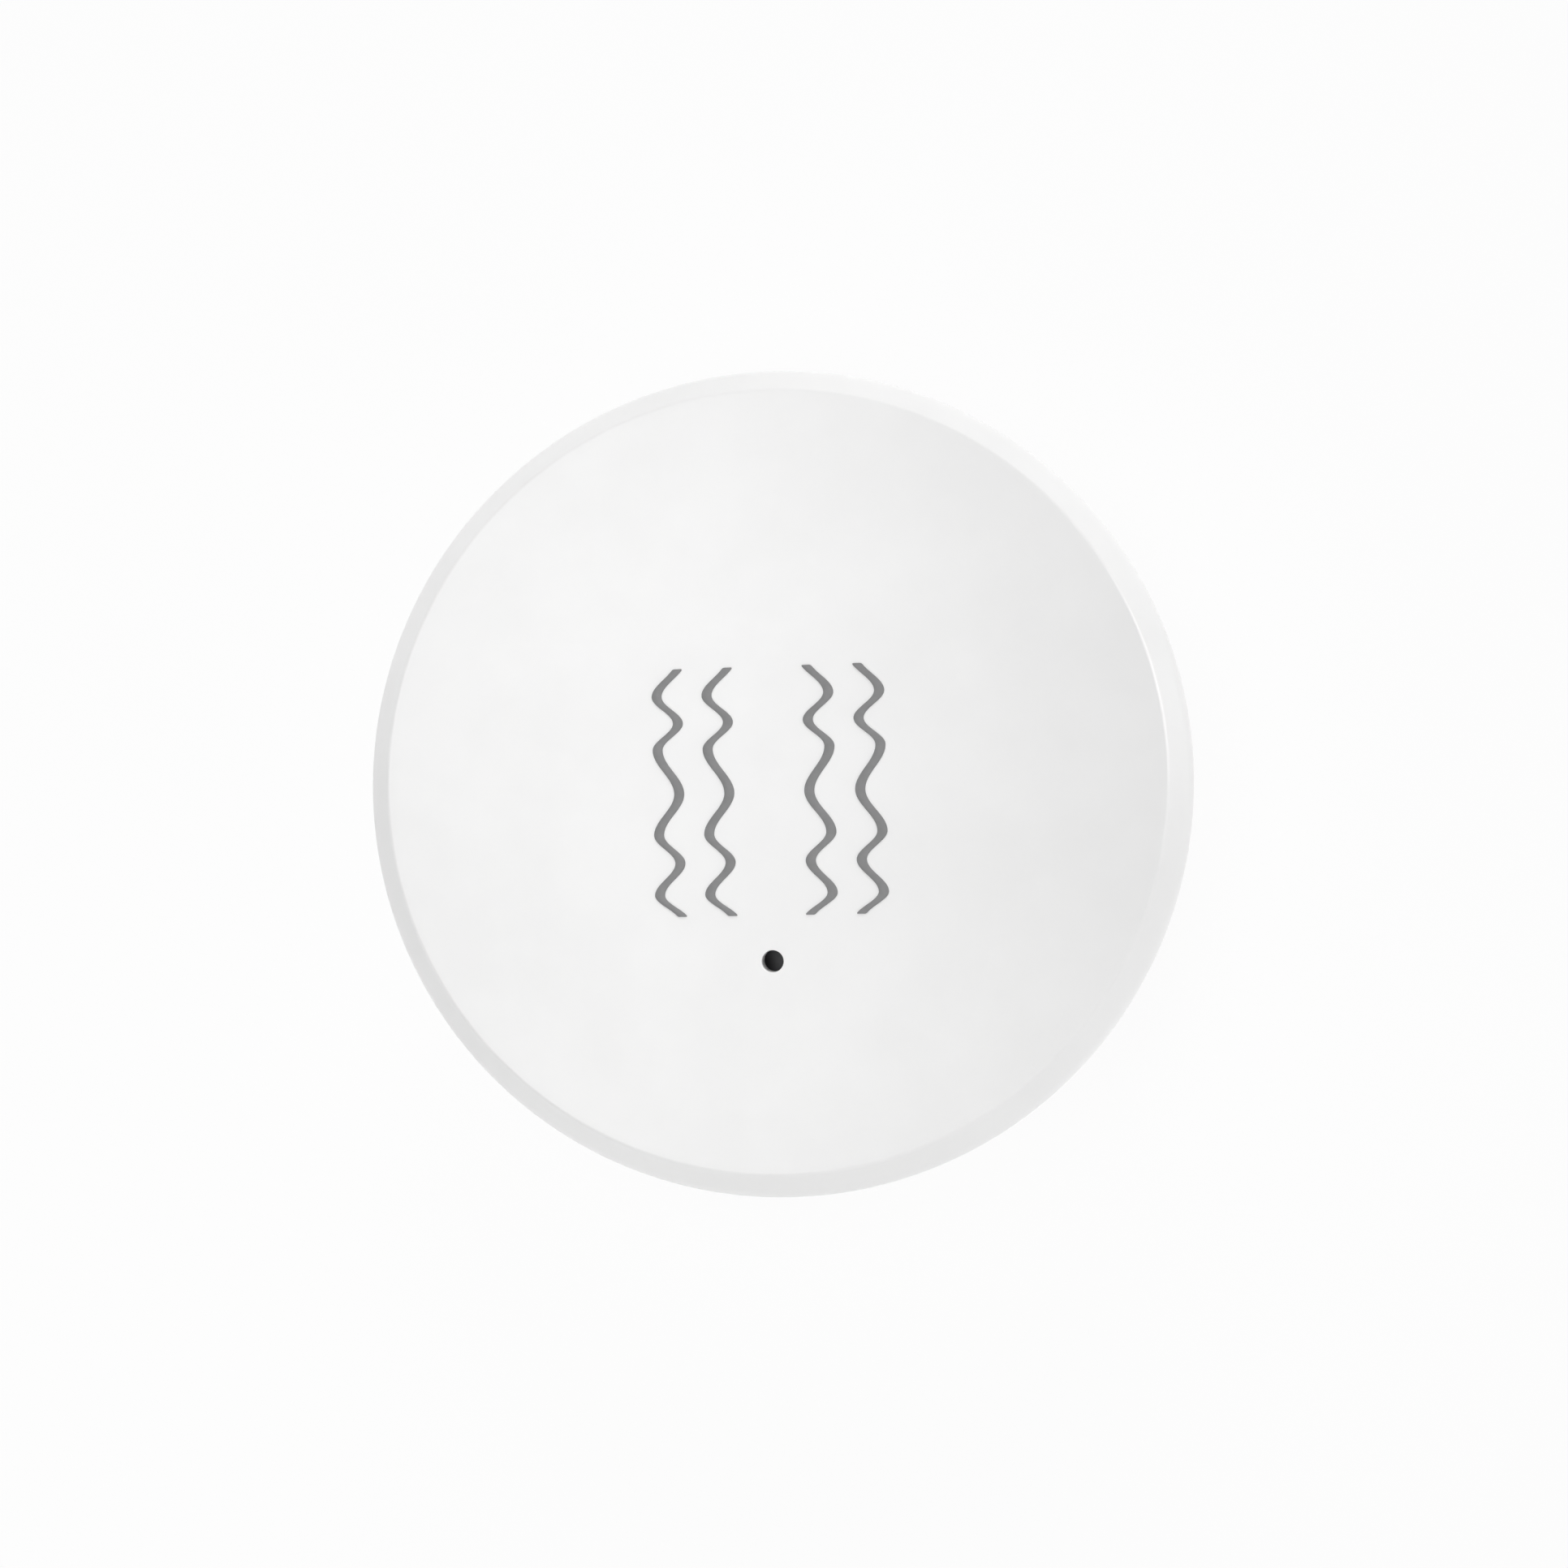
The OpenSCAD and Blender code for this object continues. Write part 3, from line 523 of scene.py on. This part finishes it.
def solder(name, colour):
    """Reflowed solder: bright, with a wavy frozen skin."""
    surface = Surface(name, 0.3, metallic=1.0)
    skin = surface.noise(0.35 * MM, 2.0)
    surface.colour(skin, shade(colour, 0.85), colour)
    surface.roughness(surface.noise(0.2 * MM), 0.22, 0.42)
    surface.bump(skin, 0.03 * MM)
    return surface.material


def filled(name, colour, roughness, grain):
    """Filled epoxy or ceramic: specks of filler and a matt skin."""
    surface = Surface(name, roughness)
    specks = surface.cells(grain)
    surface.colour(specks, shade(colour, 0.8), shade(colour, 1.15), 0.15, 0.7)
    surface.roughness(surface.noise(0.4 * MM), roughness - 0.06, roughness + 0.06)
    surface.bump(specks, 0.006 * MM)
    return surface.material


def clear(name, colour):
    """Clear lamp resin with a faint cloud."""
    surface = Surface(name, 0.12)
    surface.shader.inputs["Transmission Weight"].default_value = 0.85
    surface.shader.inputs["IOR"].default_value = 1.52
    surface.colour(surface.noise(0.5 * MM), shade(colour, 0.94), colour)
    surface.roughness(surface.noise(0.3 * MM), 0.08, 0.18)
    return surface.material


SLOTS = {part["node"]: part["material_slot"] for part in frame["record"]["subparts"]}
COLOURS = {m["slot"]: tuple(m["base_color"]) for m in frame["record"]["materials"]}
# Colours of the case and its print, matched under the lamps below
COLOURS["shell_plastic"] = (0.887, 0.886, 0.884)
COLOURS["plate_plastic"] = (0.86, 0.86, 0.85)
COLOURS["print_ink"] = (0.2, 0.2, 0.202)
DRAWN_LINES = (1, 12, 1)

FINISHES = {
    "shell_plastic": lambda name, colour: moulded(name, colour, 0.33),
    "plate_plastic": lambda name, colour: moulded(name, colour, 0.5, 0.16 * MM, 0.003 * MM, 0.02),
    "print_ink": ink,
    "foam_tape": foam,
    "board_laminate": laminate,
    "module_laminate": laminate,
    "screw_steel": lambda name, colour: plated(name, colour, 0.34),
    "holder_plastic": lambda name, colour: moulded(name, colour, 0.48, 0.14 * MM, 0.004 * MM, 0.15),
    "contact_steel": lambda name, colour: plated(name, colour, 0.26, DRAWN_LINES),
    "contact_brass": lambda name, colour: plated(name, colour, 0.3, DRAWN_LINES, 0.14),
    "cell_steel": lambda name, colour: plated(name, colour, 0.3, DRAWN_LINES),
    "seal_polymer": lambda name, colour: moulded(name, colour, 0.55, 0.1 * MM, 0.003 * MM, 0.1),
    "switch_plastic": lambda name, colour: moulded(name, colour, 0.45, 0.08 * MM, 0.003 * MM, 0.12),
    "solder_tin": solder,
    "copper_track": lambda name, colour: plated(name, colour, 0.35, wear=0.12),
    "chip_epoxy": lambda name, colour: filled(name, colour, 0.6, 0.09 * MM),
    "lamp_ceramic": lambda name, colour: filled(name, colour, 0.5, 0.06 * MM),
    "lamp_resin": clear,
    "tantalum_epoxy": lambda name, colour: filled(name, colour, 0.45, 0.12 * MM),
    "capacitor_ceramic": lambda name, colour: filled(name, colour, 0.5, 0.07 * MM),
}
MATERIALS = {slot: FINISHES[slot](slot, colour) for slot, colour in COLOURS.items()}


def dress(obj, slot):
    obj.data.materials.clear()
    obj.data.materials.append(MATERIALS[slot])


def place_piece(obj, body, *nodes):
    """Gives a modelled piece its body, the CAD nodes it stands for and their finish."""
    slot = SLOTS[nodes[0]]
    dress(obj, slot)
    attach(obj, body)
    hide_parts(*nodes)


for node, obj in frame["nodes"].items():
    for held in obj.material_slots:
        held.material = MATERIALS[SLOTS[node]]

place_piece(make_shell(), "sensor", "front_shell")
place_piece(make_marks(), "sensor", "wave_marks")
foam_pad = make_pad()
place_piece(foam_pad, "wall_plate", "adhesive_pad")
snap_dome = make_dome()
place_piece(snap_dome, "sensor", "reset_switch_dome")
flatten(snap_dome)


# Floor, light and camera

FLOOR_GREY = 0.86
FLOOR_GLOW = 0.93
WORLD_FILL = 0.15
WORLD_SEEN = 1.0


def seen_rays(tree):
    """1 for what the camera sees, straight or in gloss or glass, and 0 for the light that falls on the object."""
    rays = tree.nodes.new("ShaderNodeLightPath")
    seen = rays.outputs["Is Camera Ray"]
    for kind in ("Is Glossy Ray", "Is Transmission Ray"):
        either = tree.nodes.new("ShaderNodeMath")
        either.operation = "MAXIMUM"
        tree.links.new(seen, either.inputs[0])
        tree.links.new(rays.outputs[kind], either.inputs[1])
        seen = either.outputs[0]
    return seen


def share_between(tree, factor, low, high):
    node = tree.nodes.new("ShaderNodeMapRange")
    node.inputs["To Min"].default_value = low
    node.inputs["To Max"].default_value = high
    tree.links.new(factor, node.inputs["Value"])
    return node.outputs["Result"]


def make_floor():
    """A pale floor that the camera and gloss see as near white, with the object's shadow kept."""
    half = 1.5
    corners = [(-half, -half, 0), (half, -half, 0), (half, half, 0), (-half, half, 0)]
    floor = add_object("floor", corners, [[0, 1, 2, 3]])
    floor.location.z = -0.02 * MM
    surface = Surface("floor_paper", 0.95)
    surface.colour(surface.noise(60 * MM), (FLOOR_GREY,) * 3, (FLOOR_GREY + 0.01,) * 3)
    surface.material.cycles.emission_sampling = "NONE"
    tree = surface.material.node_tree
    glow = tree.nodes.new("ShaderNodeEmission")
    mix = tree.nodes.new("ShaderNodeMixShader")
    tree.links.new(share_between(tree, seen_rays(tree), 0, FLOOR_GLOW), mix.inputs["Fac"])
    tree.links.new(surface.shader.outputs[0], mix.inputs[1])
    tree.links.new(glow.outputs[0], mix.inputs[2])
    tree.links.new(mix.outputs[0], tree.nodes["Material Output"].inputs["Surface"])
    floor.data.materials.append(surface.material)


def make_world():
    """White to the camera and in gloss, and only a faint fill on the object, which the lamps light."""
    world = bpy.data.worlds.new("studio")
    world.use_nodes = True
    world.cycles.sampling_method = "NONE"
    tree = world.node_tree
    background = tree.nodes["Background"]
    background.inputs["Color"].default_value = (1, 1, 1, 1)
    tree.links.new(share_between(tree, seen_rays(tree), WORLD_FILL, WORLD_SEEN), background.inputs["Strength"])
    bpy.context.scene.world = world


def make_light(name, azimuth, elevation, distance, size, power, gloss):
    """A round soft lamp aimed at the middle of the face; azimuth 0 is along +X, in degrees."""
    turn, rise = math.radians(azimuth), math.radians(elevation)
    away = Vector((math.cos(rise) * math.cos(turn), math.cos(rise) * math.sin(turn), math.sin(rise)))
    lamp = bpy.data.lights.new(name, "AREA")
    lamp.shape = "DISK"
    lamp.size = size
    lamp.energy = power
    obj = bpy.data.objects.new(name, lamp)
    obj.location = Vector((0, 0, BODY_H)) + away * distance
    obj.rotation_mode = "QUATERNION"
    obj.rotation_quaternion = away.to_track_quat("Z", "Y")
    obj.visible_camera = False
    obj.visible_glossy = gloss
    bpy.context.scene.collection.objects.link(obj)
    return obj


def make_gleam(name, azimuth, elevation, width, height, radiance):
    """A soft box that only gloss shows, for the light line that the ridge draws."""
    power = radiance * math.pi * width * height
    box = make_light(name, azimuth, elevation, GLEAM_DISTANCE, width, power, True)
    box.data.shape = "RECTANGLE"
    box.data.size_y = height
    box.visible_diffuse = False


# Name, azimuth, elevation, distance, size in metres, power in watts, whether it shows in gloss
LIGHTS = [
    ("front_top", 130, 75, 0.12, 0.05, 0.031, True),
    ("front_low", 235, 75, 0.12, 0.05, 0.0218, True),
    ("left_low", 205, 25, 0.20, 0.08, 0.0804, False),
    ("top_low", 88, 18, 0.60, 0.30, 1.98, False),
    ("right_low", 12, 5, 0.60, 0.30, 1.20, False),
    ("lower_right_low", 330, 14, 0.60, 0.30, 0.914, False),
    ("bottom_low", 275, 14, 0.60, 0.30, 0.885, False),
]

# Name, azimuth, elevation, width and height in metres, radiance, where 1 is white
GLEAM_DISTANCE = 0.36
GLEAMS = [
    ("right_gleam", 18, 40, 0.16, 0.30, 4.8),
    ("top_gleam", 118, 48, 0.36, 0.30, 1.2),
    ("bottom_gleam", 282, 48, 0.36, 0.30, 1.5),
]


def make_camera():
    """A near camera, a little to the right of the face's middle and below it."""
    distance = 95 * MM
    tilt, azimuth, roll = math.radians(7.86), math.radians(-20.7), math.radians(-1.231)
    aim = Vector((0.894 * MM, -0.316 * MM, BODY_H))
    out = Vector((math.sin(tilt) * math.cos(azimuth), math.sin(tilt) * math.sin(azimuth), math.cos(tilt)))
    place = Vector((0, 0, BODY_H)) + out * distance
    back = (place - aim).normalized()
    level = Vector((0, 1, 0)).cross(back).normalized()
    rise = back.cross(level)
    right = level * math.cos(roll) + rise * math.sin(roll)
    up = rise * math.cos(roll) - level * math.sin(roll)
    data = bpy.data.cameras.new("camera")
    data.sensor_width = 36
    data.lens = 40.025
    data.clip_start = 1 * MM
    data.clip_end = 20
    camera = bpy.data.objects.new("camera", data)
    camera.matrix_world = Matrix.Translation(place) @ Matrix((right, up, back)).transposed().to_4x4()
    bpy.context.scene.collection.objects.link(camera)
    bpy.context.scene.camera = camera


make_floor()
make_world()
for settings in LIGHTS:
    make_light(*settings)
for settings in GLEAMS:
    make_gleam(*settings)
make_camera()
bpy.context.scene.view_settings.view_transform = "Standard"
